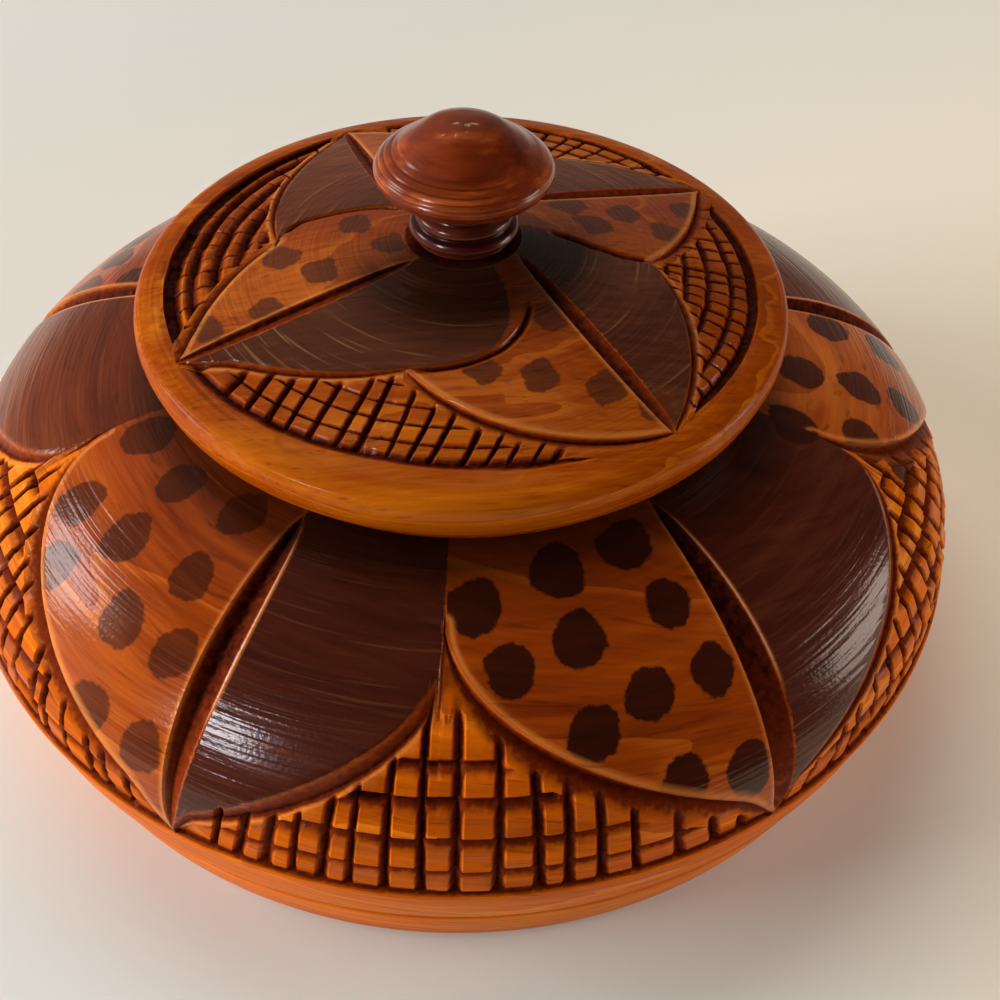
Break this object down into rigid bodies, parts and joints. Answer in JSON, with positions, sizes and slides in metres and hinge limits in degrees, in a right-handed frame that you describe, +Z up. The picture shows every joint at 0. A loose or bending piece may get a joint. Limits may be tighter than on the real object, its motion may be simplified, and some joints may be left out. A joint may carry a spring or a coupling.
{
  "type": "round wooden box with lid",
  "caption": "Squat turned wooden box with a chip-carved shoulder and a lift-off lid that has a turned knob.",
  "frame": {"origin": "centre of the foot's underside, on the turning axis", "axes": "+Z up along the turning axis; the picture looks along +Y from the front at about 46 degrees down"},
  "size_m": [0.1296, 0.1297, 0.0692],
  "materials": {
    "box_wood": "varnished orange-brown wood with dark stained leaves",
    "lid_wood": "varnished orange-brown wood with dark stained leaves",
    "knob_wood": "varnished red-brown wood"
  },
  "bodies": {
    "box": {"box_body": "box_wood"},
    "lid": {"lid": "lid_wood", "knob": "knob_wood"}
  },
  "joints": [
    {"name": "lid_lift", "type": "slide", "parent": "box", "child": "lid", "axis": [0, 0, 1], "range_m": [0, 0.07]}
  ]
}
